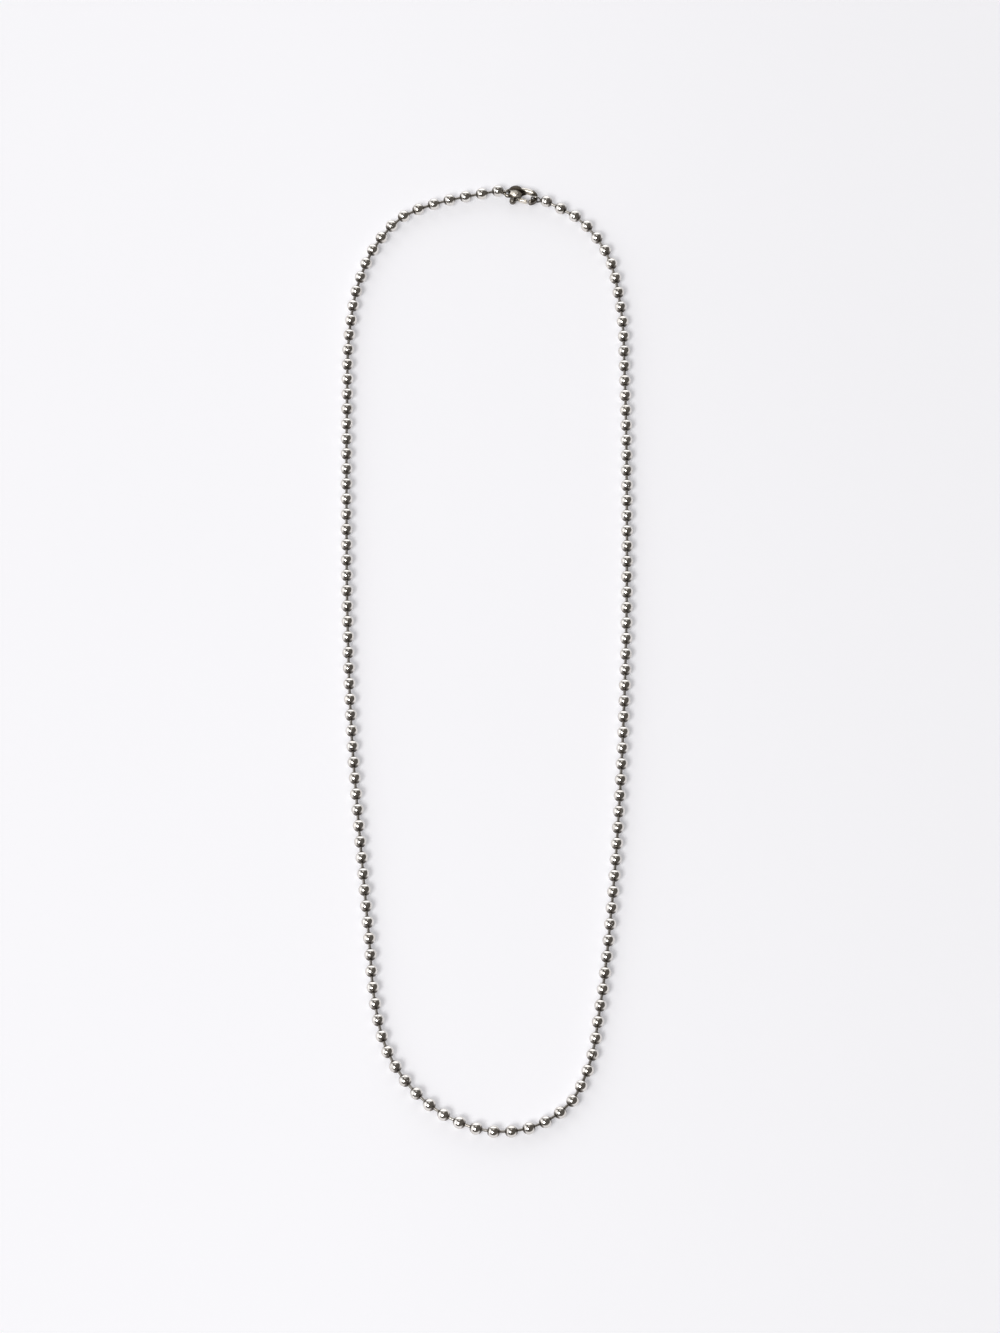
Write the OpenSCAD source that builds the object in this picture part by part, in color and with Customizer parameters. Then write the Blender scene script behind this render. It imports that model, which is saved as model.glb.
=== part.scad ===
// Ball chain necklace: hollow round beads on short knobbed rods, closed by a lobster claw clasp.
// It lies flat on a surface at z = 0 as one closed loop. The loop's long way runs along Y and the
// clasp is at the +Y end. Millimetres throughout.

/* [Beads] */
// Outer diameter of a bead
bead_d = 3.2; // [2.8:0.1:3.4]
// Wall of the hollow bead
bead_wall = 0.3; // [0.2:0.02:0.4]
// Clear distance from one bead to the next
bead_gap = 1.2; // [0.9:0.05:1.8]

/* [Rods] */
// Diameter of the rod between two beads
rod_d = 0.8; // [0.6:0.05:0.9]
// Diameter of the knob at the rod's end, caught inside the next bead
knob_d = 1.3; // [1.2:0.05:1.4]
// Clearance round the rod where it enters the next bead
rod_clear = 0.12; // [0.1:0.01:0.15]

/* [Soldered end rings] */
// Wire of the two end rings
ring_wire = 0.45; // [0.35:0.05:0.5]
// Outer diameter of the ring that the claw hooks
hook_ring_d = 3.0; // [2.95:0.05:3.2]
// Outer diameter of the ring in the clasp's eye
eye_ring_d = 2.4; // [2.3:0.05:2.5]
// Gap between the first bead and the clasp's eye
eye_gap = 0.15; // [0.12:0.01:0.25]
// Gap between the claw's nose and the last bead
nose_gap = 0.82; // [0.8:0.02:0.95]

/* [Clasp body] */
// Length of the clasp from its eye to its nose
clasp_len = 9.2; // [8.8:0.1:10.5]
// Thickness of the clasp at its cheeks
clasp_t = 3.0; // [2.9:0.1:3.4]
// Diameter of the round cheeks
cheek_d = 4.4; // [4.2:0.1:4.6]
// Radius of the cheeks' rounded rim
cheek_rim = 0.8; // [0.7:0.05:0.95]
// How far the cheeks' centre lies to the arm's side of the clasp's middle line
cheek_off = 0.6; // [0.45:0.05:0.7]
// Outer diameter of the eye
eye_d = 2.3; // [2.2:0.05:2.5]
// Wall of the eye, in the clasp's plane
eye_wall = 0.53; // [0.45:0.02:0.56]
// Height of the eye's wall
eye_t = 1.1; // [0.9:0.05:1.2]
// Width of the curved arm, in the clasp's plane
arm_w = 1.2; // [1:0.05:1.25]
// Height of the curved arm
arm_t = 1.9; // [1.6:0.05:1.95]
// Clear width of the hook inside the nose
hook_w = 1.8; // [1.7:0.05:2]

/* [Lever] */
// Thickness of the lever between the cheeks
lever_t = 1.2; // [1:0.05:1.4]
// Side clearance of the lever in its slot
lever_clear = 0.05; // [0.03:0.01:0.1]
// Diameter of the lever's boss round the pin
boss_d = 1.6; // [1.5:0.05:1.7]
// Width of the gate
gate_w = 0.9; // [0.75:0.05:0.95]
// Height of the gate
gate_t = 1.6; // [1.4:0.05:1.8]
// Gap between the gate's end and the hook's tip
gate_gap = 0.15; // [0.12:0.01:0.25]
// Diameter of the thumb tab
tab_d = 1.8; // [1.5:0.05:1.85]
// Height of the thumb tab
tab_t = 1.95; // [1.9:0.05:2.2]
// Distance from the pin to the middle of the thumb tab
tab_reach = 1.9; // [1.9:0.05:2.2]
// Distance from the middle of the cheeks to the pin
pin_reach = 1.05; // [0.9:0.05:1.15]
// Diameter of the lever's pin
pin_d = 0.7; // [0.6:0.02:0.8]
// Running clearance between the pin and the lever
pin_clear = 0.04; // [0.03:0.01:0.06]

/* [Hidden] */
$fn = 48;

// The loop's middle line from the clasp's eye round to its nose, counter-clockwise seen from above.
// Its first and last points are the two end beads, which the clasp places.
route = [
    [-5.4, 131.4], [-14, 129.1], [-22.1, 125.4], [-29.1, 117.2], [-34, 104.9], [-36.3, 89],
    [-36.6, 70], [-36.4, 40], [-35.8, 8], [-34.3, -26], [-31.6, -58], [-29.2, -83],
    [-27.6, -100], [-24.5, -112.4], [-17.2, -123.6], [-8.4, -130.4], [2, -133.7], [12.7, -132.1],
    [21, -126.2], [25.3, -117.6], [28.5, -101], [31.6, -74.5], [34.2, -40], [36, 0],
    [36.6, 40], [36.4, 76], [35.5, 98], [31.6, 114.8], [24.5, 124.6],
];
// Where the outer end of the clasp's eye lies, and how far the clasp is turned
clasp_place = [4.7, 132.7];
clasp_turn = -14;
// Straight pieces that stand for the curve between two points of the route
curve_steps = 12;

bead_r = bead_d / 2;
cavity_r = bead_r - bead_wall;
mid_z = clasp_t / 2;

// Clasp, in its own plane: u runs from the eye to the nose and v to the arm's side
eye_u = eye_d / 2;
cheek_at = [eye_d + 0.75, cheek_off];
nose_r = hook_w / 2 + arm_w / 2;
nose_at = [clasp_len - nose_r - arm_w / 2, 0.15];
nose_top = 80;
nose_tip = -72;
back_r = 9;
back_at = nose_at - (back_r - nose_r) * [cos(nose_top), sin(nose_top)];
back_end = 105;
shoulder_turn = 86;
back_lap = 1;
cover = 0.03;
hook_tip = nose_at + nose_r * [cos(nose_tip), sin(nose_tip)];
horn_d = clasp_t - 0.2;
shoulder_at = cheek_at + [0.35, 0.3];
shoulder_end = back_at + back_r * [cos(shoulder_turn), sin(shoulder_turn)];

// Lever, in the clasp's plane
pin_turn = -59;
elbow_turn = -45;
tab_turn = -113;
pin_at = cheek_at + pin_reach * [cos(pin_turn), sin(pin_turn)];
gate_end = hook_tip + [-(arm_w + gate_w) / 2 - cover - gate_gap, -0.1];
elbow = cheek_at + (cheek_d + gate_w + 0.2) / 2 * [cos(elbow_turn), sin(elbow_turn)];
tab_at = pin_at + tab_reach * [cos(tab_turn), sin(tab_turn)];
slot_t = lever_t + 2 * lever_clear;
slot_d = boss_d + 4 * lever_clear;
slot_top = back_at.y + back_r - arm_w / 2 - 0.1;
web_d = 0.7 * tab_d;
flush = 0.05;

// End rings, in the clasp's plane
eye_ring_u = eye_wall / 2 + 0.15;
hook_ring_u = clasp_len - arm_w / 2 + 0.15;

// A point of the clasp's plane, taken to the loop's own drawing
function lay(p) = clasp_place + [
    p.x * cos(clasp_turn) - p.y * sin(clasp_turn),
    p.x * sin(clasp_turn) + p.y * cos(clasp_turn),
];

// Smooth curve through the route's points, with tangents that allow for uneven spacing
first_bead = lay([-eye_gap - bead_r, 0]);
last_bead = lay([clasp_len + nose_gap + bead_r, 0]);
stops = concat([first_bead], route, [last_bead]);
last = len(stops) - 1;
spans = [for (i = [0:last - 1]) norm(stops[i + 1] - stops[i])];
function slope(i) = (stops[i + 1] - stops[i]) / spans[i];
function heading(i) =
    i == 0 ? slope(0) :
    i == last ? slope(last - 1) :
    (slope(i - 1) * spans[i] + slope(i) * spans[i - 1]) / (spans[i - 1] + spans[i]);
function between(i, t) =
    (2 * t^3 - 3 * t^2 + 1) * stops[i]
    + (t^3 - 2 * t^2 + t) * spans[i] * heading(i)
    + (3 * t^2 - 2 * t^3) * stops[i + 1]
    + (t^3 - t^2) * spans[i] * heading(i + 1);
curve = concat(
    [for (i = [0:last - 1]) for (k = [0:curve_steps - 1]) between(i, k / curve_steps)],
    [last_bead]
);

// Length of the curve up to each of its points
steps = len(curve) - 1;
run = [
    for (i = 0, s = 0; i <= steps; s = s + (i < steps ? norm(curve[i + 1] - curve[i]) : 0), i = i + 1) s
];
run_x = [for (i = [0:steps]) [run[i], curve[i].x]];
run_y = [for (i = [0:steps]) [run[i], curve[i].y]];

// Beads at even steps along the curve
bead_count = round(run[steps] / (bead_d + bead_gap)) + 1;
pitch = run[steps] / (bead_count - 1);
beads = [for (i = [0:bead_count - 1]) [lookup(i * pitch, run_x), lookup(i * pitch, run_y)]];

// The drawing is shifted so that the origin is at the middle of the necklace's footprint
cheek_mid = lay(cheek_at);
low = [min([for (b = beads) b.x]), min([for (b = beads) b.y])] - [bead_r, bead_r];
high = [
    max([for (b = beads) b.x]) + bead_r,
    max(max([for (b = beads) b.y]) + bead_r, cheek_mid.y + cheek_d / 2),
];
home = -(low + high) / 2;

// Section of a bar with two round edges, w wide and t high
module bar_section(w, t) {
    translate([0, (t - w) / 2]) circle(d = w);
    translate([0, (w - t) / 2]) circle(d = w);
    square([w, t - w], center = true);
}

// Upright bar with domed ends, w in diameter and t high
module pill(w, t) {
    translate([0, 0, (t - w) / 2]) sphere(d = w);
    translate([0, 0, (w - t) / 2]) sphere(d = w);
    cylinder(d = w, h = t - w, center = true);
}

// Rounded bar from a to b with domed ends
module bar(a, b, w, t) {
    translate([a.x, a.y, 0]) {
        pill(w, t);
        rotate([0, 0, atan2(b.y - a.y, b.x - a.x)]) rotate([90, 0, 90])
            linear_extrude(norm(b - a)) bar_section(w, t);
    }
    translate([b.x, b.y, 0]) pill(w, t);
}

// Cone from a to b in the clasp's plane
module horn(a, a_d, b, b_d) {
    translate([a.x, a.y, 0]) rotate([0, 0, atan2(b.y - a.y, b.x - a.x)]) rotate([0, 90, 0])
        cylinder(d1 = a_d, d2 = b_d, h = norm(b - a));
}

// Flat outline that tapers from a circle at a to a circle at b
module taper(a, a_d, b, b_d) {
    along = (b - a) / norm(b - a);
    across = [-along.y, along.x];
    lean = (a_d - b_d) / 2 / norm(b - a);
    side = sqrt(1 - lean^2);
    translate(a) circle(d = a_d);
    translate(b) circle(d = b_d);
    polygon([
        a + a_d / 2 * (lean * along + side * across),
        a + a_d / 2 * (lean * along - side * across),
        b + b_d / 2 * (lean * along - side * across),
        b + b_d / 2 * (lean * along + side * across),
    ]);
}

// Pebble: two domed faces that run smoothly into a round rim
module pebble(d, t, rim) {
    inner = d / 2 - rim;
    dome_r = (inner^2 + t^2 / 4 - rim^2) / (t - 2 * rim);
    meet = inner * dome_r / (dome_r - rim);
    rotate_extrude() {
        intersection() {
            translate([0, t / 2 - dome_r]) circle(dome_r, $fn = 96);
            translate([0, dome_r - t / 2]) circle(dome_r, $fn = 96);
            translate([0, -t]) square([meet, 2 * t]);
        }
        translate([inner, 0]) circle(rim);
    }
}

// Wire ring that stands on edge along the clasp's middle line
module upright_ring(outer_d, wire) {
    rotate([90, 0, 0]) rotate_extrude() translate([(outer_d - wire) / 2, 0]) circle(d = wire);
}

// Turns a child that points along +X from one place of the chain towards another
module towards(a, b) {
    rotate([0, 0, atan2(b.y - a.y, b.x - a.x)]) children();
}

// Ball from which a bead is made, turned so that its joint line keeps off the rod and the hole
module ball(a, b, r) {
    towards(a, b) rotate([0, 0, 90]) sphere(r);
}

// Rod from a bead's wall to the knob inside the next bead, seen from the bead's middle
module rod(reach) {
    knob_at = reach - cavity_r + knob_d / 2 + rod_clear;
    start = (bead_r + cavity_r) / 2;
    rotate([0, 90, 0]) translate([0, 0, start]) cylinder(d = rod_d, h = knob_at - start);
    translate([knob_at, 0, 0]) sphere(d = knob_d);
}

// Hole by which the rod from the bead before comes in
module rod_hole() {
    rotate([0, 90, 0]) cylinder(d = rod_d + 2 * rod_clear, h = bead_d);
}

// One link: hollow bead with the hole for the rod before it and its own rod to the bead after it
module link(i) {
    translate([beads[i].x, beads[i].y, bead_r]) {
        difference() {
            ball(beads[i - 1], beads[i + 1], bead_r);
            ball(beads[i - 1], beads[i + 1], cavity_r);
            towards(beads[i], beads[i - 1]) rod_hole();
        }
        towards(beads[i], beads[i + 1]) rod(norm(beads[i + 1] - beads[i]));
    }
}

// Places children of the clasp's plane on the surface
module at_clasp() {
    translate([home.x + clasp_place.x, home.y + clasp_place.y, mid_z]) rotate([0, 0, clasp_turn]) children();
}

module bead_chain() {
    color("silver") translate([home.x, home.y, 0])
        for (i = [1:bead_count - 2]) link(i);
}

// First bead, with its rod and the small ring that is soldered to it and goes through the eye
module end_link_left() {
    color("silver") difference() {
        union() {
            translate([home.x + first_bead.x, home.y + first_bead.y, bead_r]) {
                ball(beads[0], beads[1], bead_r);
                towards(beads[0], beads[1]) rod(norm(beads[1] - beads[0]));
            }
            at_clasp() translate([eye_ring_u, 0, 0]) upright_ring(eye_ring_d, ring_wire);
        }
        translate([home.x + first_bead.x, home.y + first_bead.y, bead_r])
            ball(beads[0], beads[1], cavity_r);
    }
}

// Last bead, with the ring soldered to it that the claw hooks
module end_link_right() {
    n = bead_count - 1;
    color("silver") difference() {
        union() {
            translate([home.x + last_bead.x, home.y + last_bead.y, bead_r])
                ball(beads[n], beads[n - 1], bead_r);
            at_clasp() translate([hook_ring_u, 0, 0]) upright_ring(hook_ring_d, ring_wire);
        }
        translate([home.x + last_bead.x, home.y + last_bead.y, bead_r]) {
            ball(beads[n], beads[n - 1], cavity_r);
            towards(beads[n], beads[n - 1]) rod_hole();
        }
    }
}

// Curved arm: the long back of the claw, the nose and the hook's rounded tip. The back and the tip
// are a hair fuller than the nose, so that each covers the nose's end where they meet.
module claw_arm() {
    full_w = arm_w + 2 * cover;
    full_t = arm_t + 2 * cover;
    translate([back_at.x, back_at.y, 0]) rotate([0, 0, nose_top - back_lap])
        rotate_extrude(angle = back_end - nose_top + back_lap, $fn = 180)
            translate([back_r, 0]) bar_section(full_w, full_t);
    translate([nose_at.x, nose_at.y, 0]) rotate([0, 0, nose_tip])
        rotate_extrude(angle = nose_top - nose_tip)
            translate([nose_r, 0]) bar_section(arm_w, arm_t);
    translate([hook_tip.x, hook_tip.y, 0]) pill(full_w, full_t);
}

// Slot in which the lever turns, open on the side of the gate and the thumb tab
module lever_slot() {
    depth = 2 * cheek_d;
    linear_extrude(slot_t, center = true) {
        taper(pin_at, slot_d, pin_at + 2 * (tab_at - pin_at), slot_d);
        translate([pin_at.x, slot_top - depth]) square([shoulder_end.x - pin_at.x, depth]);
    }
}

module clasp_body() {
    color("lightgray") at_clasp() difference() {
        union() {
            translate([eye_u, 0, 0]) rotate_extrude()
                translate([(eye_d - eye_wall) / 2, 0]) bar_section(eye_wall, eye_t);
            translate([cheek_at.x, cheek_at.y, 0]) pebble(cheek_d, clasp_t, cheek_rim);
            horn([eye_u, 0], eye_t, cheek_at, horn_d);
            horn(shoulder_at, horn_d, shoulder_end, arm_w);
            claw_arm();
        }
        translate([eye_u, 0, 0]) cylinder(d = eye_d - 2 * eye_wall, h = 2 * clasp_t, center = true);
        lever_slot();
        translate([pin_at.x, pin_at.y, 0]) cylinder(d = pin_d, h = 2 * clasp_t, center = true);
    }
}

module clasp_lever() {
    color("gainsboro") at_clasp() difference() {
        union() {
            linear_extrude(lever_t, center = true) {
                taper(pin_at, boss_d, elbow, gate_w);
                taper(pin_at, boss_d, tab_at, web_d);
            }
            bar(elbow, gate_end, gate_w, gate_t);
            translate([tab_at.x, tab_at.y, 0]) pill(tab_d, tab_t);
        }
        translate([pin_at.x, pin_at.y, 0])
            cylinder(d = pin_d + 2 * pin_clear, h = 2 * clasp_t, center = true);
    }
}

// Rivet, flush with the domed cheeks
module lever_pin() {
    color("darkgray") at_clasp() intersection() {
        translate([pin_at.x, pin_at.y, 0]) cylinder(d = pin_d, h = 2 * clasp_t, center = true);
        translate([cheek_at.x, cheek_at.y, 0]) pebble(cheek_d, clasp_t + 2 * flush, cheek_rim);
    }
}

bead_chain();
end_link_left();
end_link_right();
clasp_body();
clasp_lever();
lever_pin();
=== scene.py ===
"""Ball chain necklace: the looks of its beads, rods, end rings and lobster clasp.

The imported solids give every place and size. Each one is dressed in a finer form of the same
piece: hollow beads with rolled hole edges on knobbed rods, two end beads with their soldered
rings, and the clasp's castings with rounded edges. Lengths are in millimetres until a mesh is
made, and in metres from there on.
"""

from __future__ import annotations

import logging
import math
from dataclasses import dataclass, field
from enum import Enum
from typing import Union

import bmesh
import bpy
import numpy as np
from mathutils import Matrix, Vector


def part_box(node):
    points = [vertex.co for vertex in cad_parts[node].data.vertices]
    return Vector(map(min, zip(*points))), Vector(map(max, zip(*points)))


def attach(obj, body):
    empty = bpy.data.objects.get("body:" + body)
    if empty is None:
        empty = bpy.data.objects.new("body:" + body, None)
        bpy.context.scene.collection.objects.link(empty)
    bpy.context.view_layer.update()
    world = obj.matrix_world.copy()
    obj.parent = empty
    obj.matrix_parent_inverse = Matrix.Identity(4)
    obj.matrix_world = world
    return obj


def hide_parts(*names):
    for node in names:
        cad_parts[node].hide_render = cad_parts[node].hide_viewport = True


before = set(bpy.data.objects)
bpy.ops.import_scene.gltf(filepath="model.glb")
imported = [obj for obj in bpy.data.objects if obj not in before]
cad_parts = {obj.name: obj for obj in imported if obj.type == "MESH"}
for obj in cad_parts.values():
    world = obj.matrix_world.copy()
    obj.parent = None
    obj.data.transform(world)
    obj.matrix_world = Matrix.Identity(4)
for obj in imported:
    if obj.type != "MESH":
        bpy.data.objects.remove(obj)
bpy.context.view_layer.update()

MM = 0.001
SEED = 4713
IMAGE_HEIGHT_PX = 1333
SENSOR_MM = 36.0
AXIS_R = 1e-6
SEAM_UV = "wrap"
log = logging.getLogger("necklace")

# The Mix node has an A, a B and a Result for each kind of data, so colours go by number.
MIX_COLOUR_A = 6
MIX_COLOUR_B = 7
MIX_COLOUR_RESULT = 2

Colour = tuple[float, float, float]
Point = tuple[float, float, float]
Pair = tuple[float, float]
Feed = Union[bpy.types.NodeSocket, float, Colour]


class HoleEnd(Enum):
    """What one end of a bead has: a hole for a rod, or plain metal that a ring is soldered to."""

    ROD_HOLE = "rod hole"
    PLAIN = "plain"


class ChainEnd(Enum):
    """An end of the chain. Its number keeps the two end beads' random draws apart."""

    FIRST = 1
    LAST = -1


class Body(Enum):
    """The two bodies that pieces ride on."""

    NECKLACE = "necklace"
    LEVER = "clasp_lever"


# Nodes and the groups that the finishes share


@dataclass
class Wiring:
    """Adds nodes to one node tree and joins their sockets."""

    tree: bpy.types.NodeTree

    def node(self, kind: str, **settings: object) -> bpy.types.Node:
        """Adds one node.

        Args:
            kind: the node's type name.
            settings: attributes to set on it.

        Returns:
            The new node.
        """
        made = self.tree.nodes.new(kind)
        for name, value in settings.items():
            setattr(made, name, value)
        return made

    def feed(self, socket: bpy.types.NodeSocket, value: Feed) -> None:
        """Joins another socket to this one, or sets its value.

        Args:
            socket: the input to feed.
            value: an output socket, a number or a colour.
        """
        if isinstance(value, bpy.types.NodeSocket):
            self.tree.links.new(value, socket)
        elif socket.type == "RGBA" and len(value) == 3:
            socket.default_value = (*value, 1.0)
        else:
            socket.default_value = value

    def math(self, operation: str, *values: Feed) -> bpy.types.NodeSocket:
        """Adds a math node.

        Args:
            operation: its operation.
            values: its inputs in order.

        Returns:
            Its result.
        """
        made = self.node("ShaderNodeMath", operation=operation)
        for socket, value in zip(made.inputs, values):
            self.feed(socket, value)
        return made.outputs[0]

    def vector_math(self, operation: str, a: Feed, b: Feed) -> bpy.types.NodeSocket:
        """Adds a vector math node.

        Args:
            operation: its operation.
            a: its first vector.
            b: its second vector.

        Returns:
            Its value for a dot product, or else its vector.
        """
        made = self.node("ShaderNodeVectorMath", operation=operation)
        self.feed(made.inputs[0], a)
        self.feed(made.inputs[1], b)
        return made.outputs["Value" if operation == "DOT_PRODUCT" else "Vector"]

    def blend(self, share: Feed, a: Feed, b: Feed, mode: str = "MIX") -> bpy.types.NodeSocket:
        """Adds a colour mix.

        Args:
            share: how much of the second colour shows.
            a: the first colour.
            b: the second colour.
            mode: how they are blended.

        Returns:
            The mixed colour.
        """
        made = self.node("ShaderNodeMix", data_type="RGBA", blend_type=mode)
        self.feed(made.inputs["Factor"], share)
        self.feed(made.inputs[MIX_COLOUR_A], a)
        self.feed(made.inputs[MIX_COLOUR_B], b)
        return made.outputs[MIX_COLOUR_RESULT]

    def spread(self, value: Feed, low: Feed, high: Feed, to_low: Feed = 0.0,
               to_high: Feed = 1.0, smooth: bool = True) -> bpy.types.NodeSocket:
        """Adds a map range node.

        Args:
            value: what is mapped.
            low: the value that gives to_low.
            high: the value that gives to_high.
            to_low: the result at the low end.
            to_high: the result at the high end.
            smooth: whether the step is a soft one.

        Returns:
            The mapped value.
        """
        step = "SMOOTHSTEP" if smooth else "LINEAR"
        made = self.node("ShaderNodeMapRange", interpolation_type=step)
        for socket, given in zip(made.inputs, (value, low, high, to_low, to_high)):
            self.feed(socket, given)
        return made.outputs[0]

    def noise(self, place: Feed, scale: Feed, detail: float,
              roughness: float = 0.5) -> bpy.types.NodeSocket:
        """Adds a noise texture.

        Args:
            place: where it is read.
            scale: its scale.
            detail: its octaves.
            roughness: how strong the fine ones are.

        Returns:
            Its value.
        """
        made = self.node("ShaderNodeTexNoise")
        self.feed(made.inputs["Vector"], place)
        self.feed(made.inputs["Scale"], scale)
        self.feed(made.inputs["Detail"], detail)
        self.feed(made.inputs["Roughness"], roughness)
        return made.outputs[0]

    def first_part(self, vector: Feed) -> bpy.types.NodeSocket:
        """Splits a vector.

        Args:
            vector: the vector.

        Returns:
            The first of its three numbers.
        """
        parts = self.node("ShaderNodeSeparateXYZ")
        self.feed(parts.inputs[0], vector)
        return parts.outputs[0]

    def attribute(self, name: str) -> bpy.types.NodeSocket:
        """The number that a mesh carries at each vertex under a name."""
        return self.node("ShaderNodeAttribute", attribute_name=name).outputs["Fac"]

    def millimetres(self) -> bpy.types.NodeSocket:
        """The place on the object, in millimetres."""
        place = self.node("ShaderNodeTexCoord").outputs["Object"]
        return self.vector_math("MULTIPLY", place, (1 / MM, 1 / MM, 1 / MM))


class NodeGroup:
    """A shader node group that is built once and placed in each material with its own values."""

    name = "group"
    inputs: dict[str, tuple[str, object]] = {}
    outputs: dict[str, str] = {}

    def tree(self) -> bpy.types.NodeTree:
        """Gives the group's tree and builds it the first time.

        Returns:
            The node tree.
        """
        found = bpy.data.node_groups.get(self.name)
        if found:
            return found
        tree = bpy.data.node_groups.new(self.name, "ShaderNodeTree")
        for name, (kind, value) in self.inputs.items():
            socket = tree.interface.new_socket(name, in_out="INPUT", socket_type=kind)
            if value is not None:
                socket.default_value = value
        for name, kind in self.outputs.items():
            tree.interface.new_socket(name, in_out="OUTPUT", socket_type=kind)
        wiring = Wiring(tree)
        given = wiring.node("NodeGroupInput").outputs
        result = wiring.node("NodeGroupOutput").inputs
        self.wire(wiring, given, result)
        return tree

    def wire(self, wiring: Wiring, given: bpy.types.NodeOutputs,
             result: bpy.types.NodeInputs) -> None:
        """Joins the group's inputs to its outputs.

        Args:
            wiring: the group's own wiring.
            given: the group's inputs by name.
            result: the group's outputs by name.
        """
        raise NotImplementedError

    def place(self, wiring: Wiring, **values: Feed) -> bpy.types.NodeOutputs:
        """Places the group in a material.

        Args:
            wiring: the material's wiring.
            values: inputs by name, with _ for a space.

        Returns:
            The group node's outputs by name.
        """
        made = wiring.node("ShaderNodeGroup", node_tree=self.tree())
        for name, value in values.items():
            wiring.feed(made.inputs[name.replace("_", " ").title()], value)
        return made.outputs


class StainsAndPaintedShade(NodeGroup):
    """Silver yellowed in patches and dark where its mask is high: oxide out of a cloth's reach, and
    painted shade.
    """

    name = "stains_and_painted_shade"
    inputs = {
        "Place": ("NodeSocketVector", None),
        "Patch Scale": ("NodeSocketFloat", 1.0),
        "Patchiness": ("NodeSocketFloat", 0.3),
        "Recess": ("NodeSocketFloat", 0.0),
        "Clean": ("NodeSocketColor", None),
        "Stained": ("NodeSocketColor", None),
        "Blackened": ("NodeSocketColor", None),
    }
    outputs = {"Color": "NodeSocketColor", "Dark Mask": "NodeSocketFloat"}
    patch_detail: float = 4.0
    patch_roughness: float = 0.6
    patch_edge: Pair = (0.4, 0.68)
    ragged_scale: float = 5.0
    ragged_detail: float = 3.0
    ragged_share: float = 0.3
    dark_edge: Pair = (0.35, 1.05)

    def wire(self, wiring: Wiring, given: bpy.types.NodeOutputs,
             result: bpy.types.NodeInputs) -> None:
        """Mixes the clean silver with its stains, and then with the dark colour of oxide and
        painted shade.

        Args:
            wiring: the group's own wiring.
            given: the group's inputs by name.
            result: the group's outputs by name.
        """
        place, scale = given["Place"], given["Patch Scale"]
        patches = wiring.noise(place, scale, self.patch_detail, self.patch_roughness)
        patches = wiring.spread(patches, *self.patch_edge)
        share = wiring.math("MULTIPLY", patches, given["Patchiness"])
        stained = wiring.blend(share, given["Clean"], given["Stained"])
        fine = wiring.math("MULTIPLY", scale, self.ragged_scale)
        ragged = wiring.noise(place, fine, self.ragged_detail)
        ragged = wiring.math("MULTIPLY", ragged, self.ragged_share)
        # Painted shade: the mask, partly oxide and partly painted shade and painted dark
        # reflection, lays in the dark colour.
        dark = wiring.spread(wiring.math("ADD", given["Recess"], ragged), *self.dark_edge)
        wiring.feed(result["Color"], wiring.blend(dark, stained, given["Blackened"]))
        wiring.feed(result["Dark Mask"], dark)


class HandlingMarks(NodeGroup):
    """Fine scratches in two directions and soft dents, from years of wear on the skin."""

    name = "handling_marks"
    inputs = {
        "Place": ("NodeSocketVector", None),
        "Fineness": ("NodeSocketFloat", 6.0),
        "Polished": ("NodeSocketFloat", 0.1),
        "Dulled": ("NodeSocketFloat", 0.25),
    }
    outputs = {"Height": "NodeSocketFloat", "Roughness": "NodeSocketFloat"}
    scratch_stretches: tuple[Point, Point] = ((1.0, 14.0, 1.0), (12.0, 1.5, 6.0))
    scratch_detail: float = 2.0
    scratch_edge: Pair = (0.6, 0.72)
    scratch_depth: float = 0.25
    scratch_dulling: float = 0.5
    dent_scale: float = 0.16
    dent_detail: float = 1.0
    dull_edge: Pair = (0.3, 1.1)

    def wire(self, wiring: Wiring, given: bpy.types.NodeOutputs,
             result: bpy.types.NodeInputs) -> None:
        """Draws the scratches as stretched noise and dulls the silver along them.

        Args:
            wiring: the group's own wiring.
            given: the group's inputs by name.
            result: the group's outputs by name.
        """
        lines = []
        for stretch in self.scratch_stretches:
            drawn = wiring.vector_math("MULTIPLY", given["Place"], stretch)
            streaks = wiring.noise(drawn, given["Fineness"], self.scratch_detail)
            lines.append(wiring.spread(streaks, *self.scratch_edge))
        scratched = wiring.math("MAXIMUM", *lines)
        coarse = wiring.math("MULTIPLY", given["Fineness"], self.dent_scale)
        dents = wiring.noise(given["Place"], coarse, self.dent_detail)
        cut = wiring.math("MULTIPLY", scratched, self.scratch_depth)
        wiring.feed(result["Height"], wiring.math("SUBTRACT", dents, cut))
        dulled = wiring.math("ADD", wiring.math("MULTIPLY", scratched, self.scratch_dulling), dents)
        wiring.feed(result["Roughness"], wiring.spread(
            dulled, *self.dull_edge, given["Polished"], given["Dulled"], smooth=False))


class LinkTone(NodeGroup):
    """Small differences in lightness from one link of the necklace to the next."""

    name = "link_tone"
    inputs = {
        "Color": ("NodeSocketColor", None),
        "Tone": ("NodeSocketFloat", 1.0),
        "Darkest": ("NodeSocketFloat", 0.9),
    }
    outputs = {"Color": "NodeSocketColor"}

    def wire(self, wiring: Wiring, given: bpy.types.NodeOutputs,
             result: bpy.types.NodeInputs) -> None:
        """Darkens the colour by the link's own tone.

        Args:
            wiring: the group's own wiring.
            given: the group's inputs by name.
            result: the group's outputs by name.
        """
        tone = wiring.spread(given["Tone"], 0.0, 1.0, given["Darkest"], 1.0, smooth=False)
        grey = wiring.node("ShaderNodeCombineColor")
        for socket in grey.inputs:
            wiring.feed(socket, tone)
        toned = wiring.blend(1.0, given["Color"], grey.outputs[0], "MULTIPLY")
        wiring.feed(result["Color"], toned)


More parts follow.
